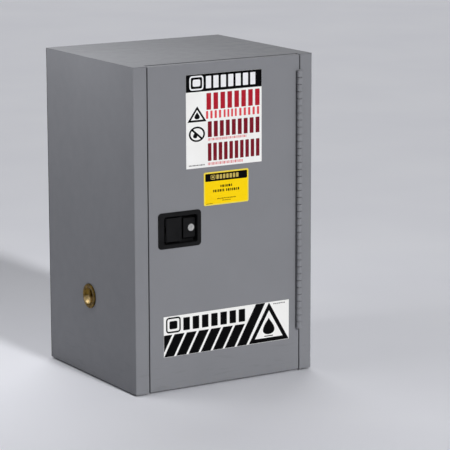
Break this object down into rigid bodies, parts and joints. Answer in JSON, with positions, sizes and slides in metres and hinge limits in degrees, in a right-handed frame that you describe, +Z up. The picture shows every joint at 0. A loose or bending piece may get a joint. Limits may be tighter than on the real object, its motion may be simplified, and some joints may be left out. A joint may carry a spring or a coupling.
{
  "type": "flammable storage cabinet",
  "caption": "Grey double-wall steel safety cabinet with one hinged door, three-point paddle latch, lift-out shelf, leakproof sump, brass vent bungs and levelling feet.",
  "frame": {"origin": "on the floor under the middle of the object's box", "axes": "+Z up, the door faces -Y, the hinge is on the +X edge"},
  "size_m": [0.5676, 0.5101, 0.889],
  "materials": {
    "body_paint": "satin grey powder coat",
    "liner_paint": "satin grey powder coat",
    "galvanised_steel": "galvanised",
    "zinc_steel": "bright zinc plate",
    "black_plastic": "fine texture",
    "lock_chrome": "satin chrome",
    "brass": "machined",
    "fire_screen": "perforated",
    "foot_rubber": "matt",
    "white_label": "satin vinyl",
    "yellow_label": "satin vinyl"
  },
  "bodies": {
    "cabinet": {"left_side_panel": "body_paint", "right_side_panel": "body_paint", "top_panel": "body_paint", "back_panel": "body_paint", "base_panel": "body_paint", "door_sill": "body_paint", "top_rail": "body_paint", "left_liner": "liner_paint", "right_liner": "liner_paint", "back_liner": "liner_paint", "top_liner": "liner_paint", "sump_pan": "liner_paint", "strike_plate": "zinc_steel", "ground_screw": "brass", "hinge_leaf_frame": "body_paint", "hinge_pin": "zinc_steel", "left_vent_collar": "brass", "right_vent_collar": "brass", "left_flame_arrester": "fire_screen", "right_flame_arrester": "fire_screen", "shelf_bracket_left_front": "galvanised_steel", "shelf_bracket_left_rear": "galvanised_steel", "shelf_bracket_right_front": "galvanised_steel", "shelf_bracket_right_rear": "galvanised_steel", "foot_nut_front_left": "zinc_steel", "foot_nut_front_right": "zinc_steel", "foot_nut_rear_left": "zinc_steel", "foot_nut_rear_right": "zinc_steel"},
    "door": {"door_skin": "body_paint", "door_liner": "liner_paint", "hinge_leaf_door": "body_paint", "hazard_label": "white_label", "notice_label": "yellow_label", "stripe_label": "white_label", "handle_dish": "black_plastic", "paddle_pin": "zinc_steel", "paddle_spring": "zinc_steel", "latch_base": "zinc_steel", "cam_pivot": "zinc_steel", "upper_rod_guide": "black_plastic", "lower_rod_guide": "black_plastic", "side_bolt_guide": "black_plastic", "lock_housing": "black_plastic", "lock_barrel": "lock_chrome"},
    "paddle": {"paddle": "black_plastic"},
    "latch_cam": {"latch_cam": "zinc_steel"},
    "upper_rod": {"upper_rod": "zinc_steel"},
    "lower_rod": {"lower_rod": "zinc_steel"},
    "side_bolt": {"side_bolt": "zinc_steel"},
    "lock_core": {"key_plug": "lock_chrome", "lock_cam": "zinc_steel"},
    "shelf": {"shelf": "galvanised_steel"},
    "left_vent_bung": {"left_vent_bung": "brass"},
    "right_vent_bung": {"right_vent_bung": "brass"},
    "foot_front_left": {"foot_front_left": "foot_rubber"},
    "foot_front_right": {"foot_front_right": "foot_rubber"},
    "foot_rear_left": {"foot_rear_left": "foot_rubber"},
    "foot_rear_right": {"foot_rear_right": "foot_rubber"}
  },
  "joints": [
    {"name": "door_swing", "type": "hinge", "parent": "cabinet", "child": "door", "pos_m": [0.2345, -0.2476, 0.483], "axis": [0, 0, 1], "range_deg": [0, 180]},
    {"name": "paddle_pull", "type": "hinge", "parent": "door", "child": "paddle", "pos_m": [-0.179, -0.2304, 0.444], "axis": [0, 0, -1], "range_deg": [0, 40.1], "stiffness_Nm_per_rad": 0.35, "springref_deg": -34.38},
    {"name": "cam_turn", "type": "hinge", "parent": "door", "child": "latch_cam", "pos_m": [-0.1615, -0.2076, 0.444], "axis": [0, -1, 0], "range_deg": [0, 40.2]},
    {"name": "upper_rod_slide", "type": "slide", "parent": "door", "child": "upper_rod", "axis": [0, 0, -1], "range_m": [0, 0.01505]},
    {"name": "lower_rod_slide", "type": "slide", "parent": "door", "child": "lower_rod", "axis": [0, 0, 1], "range_m": [0, 0.01525]},
    {"name": "side_bolt_slide", "type": "slide", "parent": "door", "child": "side_bolt", "axis": [1, 0, 0], "range_m": [0, 0.01525]},
    {"name": "key_turn", "type": "hinge", "parent": "door", "child": "lock_core", "pos_m": [-0.102, -0.2331, 0.444], "axis": [0, 1, 0], "range_deg": [0, 90]},
    {"name": "shelf_lift", "type": "slide", "parent": "cabinet", "child": "shelf", "axis": [0, 0, 1], "range_m": [0, 0.02]},
    {"name": "left_vent_bung_out", "type": "slide", "parent": "cabinet", "child": "left_vent_bung", "axis": [-1, 0, 0], "range_m": [0, 0.03]},
    {"name": "right_vent_bung_out", "type": "slide", "parent": "cabinet", "child": "right_vent_bung", "axis": [1, 0, 0], "range_m": [0, 0.03]},
    {"name": "foot_front_left_down", "type": "slide", "parent": "cabinet", "child": "foot_front_left", "axis": [0, 0, -1], "range_m": [0, 0.012]},
    {"name": "foot_front_right_down", "type": "slide", "parent": "cabinet", "child": "foot_front_right", "axis": [0, 0, -1], "range_m": [0, 0.012]},
    {"name": "foot_rear_left_down", "type": "slide", "parent": "cabinet", "child": "foot_rear_left", "axis": [0, 0, -1], "range_m": [0, 0.012]},
    {"name": "foot_rear_right_down", "type": "slide", "parent": "cabinet", "child": "foot_rear_right", "axis": [0, 0, -1], "range_m": [0, 0.012]}
  ],
  "couplings": [
    {"joint": "paddle_pull", "follows": "upper_rod_slide", "rad_per_m": 46.391},
    {"joint": "cam_turn", "follows": "upper_rod_slide", "rad_per_m": 46.391},
    {"joint": "lower_rod_slide", "follows": "upper_rod_slide", "ratio": 1},
    {"joint": "side_bolt_slide", "follows": "upper_rod_slide", "ratio": 1}
  ]
}
